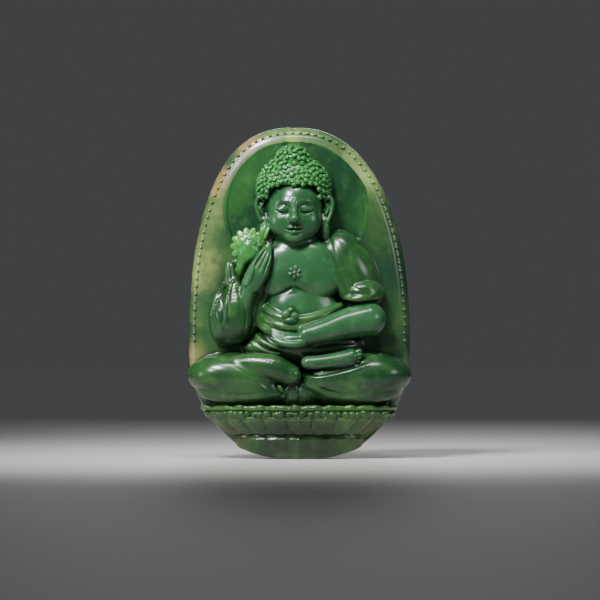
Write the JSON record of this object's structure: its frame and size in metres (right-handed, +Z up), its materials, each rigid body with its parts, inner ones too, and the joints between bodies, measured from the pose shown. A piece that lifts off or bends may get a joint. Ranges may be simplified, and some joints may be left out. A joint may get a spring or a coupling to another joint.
{
  "type": "carved jade pendant figurine",
  "caption": "Carved nephrite plaque pendant: a seated figure in high relief on a lotus throne, with a halo and a beaded border.",
  "frame": {"origin": "bottom centre of the bounding box, on the flat foot", "axes": "+Z up the slab, -Y out of the carved front, +X to the viewer's right when looking at the front"},
  "size_m": [0.0406, 0.0129, 0.06],
  "materials": {
    "nephrite_ground": "polished nephrite jade, pale yellow-green ground",
    "nephrite_rind": "polished nephrite jade with tan rind along the edge",
    "nephrite_halo": "polished nephrite jade, deeper green recess",
    "nephrite_skin": "polished nephrite jade, blue-green",
    "nephrite_hair": "polished nephrite jade, bright emerald green",
    "nephrite_robe": "polished nephrite jade, dark spinach green",
    "nephrite_lotus": "polished nephrite jade, olive green"
  },
  "bodies": {
    "root": {"ground_slab": "nephrite_ground", "rim_band": "nephrite_rind", "bead_border": "nephrite_rind", "halo_disc": "nephrite_halo", "head": "nephrite_skin", "hair_cap": "nephrite_hair", "hair_curls": "nephrite_hair", "topknot": "nephrite_hair", "ear_right": "nephrite_skin", "ear_left": "nephrite_skin", "neck": "nephrite_skin", "chest": "nephrite_skin", "chest_rosette": "nephrite_skin", "belly": "nephrite_skin", "sash": "nephrite_robe", "sash_jewel": "nephrite_skin", "lap_robe": "nephrite_robe", "shoulder_robe_left": "nephrite_robe", "cuff_left": "nephrite_robe", "forearm_left": "nephrite_skin", "hand_left": "nephrite_skin", "upper_arm_right": "nephrite_robe", "forearm_right": "nephrite_skin", "hand_right": "nephrite_skin", "lotus_bloom": "nephrite_hair", "lotus_bud": "nephrite_hair", "sleeve_drape_right": "nephrite_robe", "leg_right": "nephrite_robe", "leg_left": "nephrite_robe", "shin_right": "nephrite_robe", "foot_right": "nephrite_skin", "lap_drape": "nephrite_robe", "seat_pad": "nephrite_lotus", "petal_bowl": "nephrite_lotus", "petals_upper": "nephrite_lotus", "petals_lower": "nephrite_lotus", "plinth": "nephrite_lotus"}
  },
  "joints": []
}
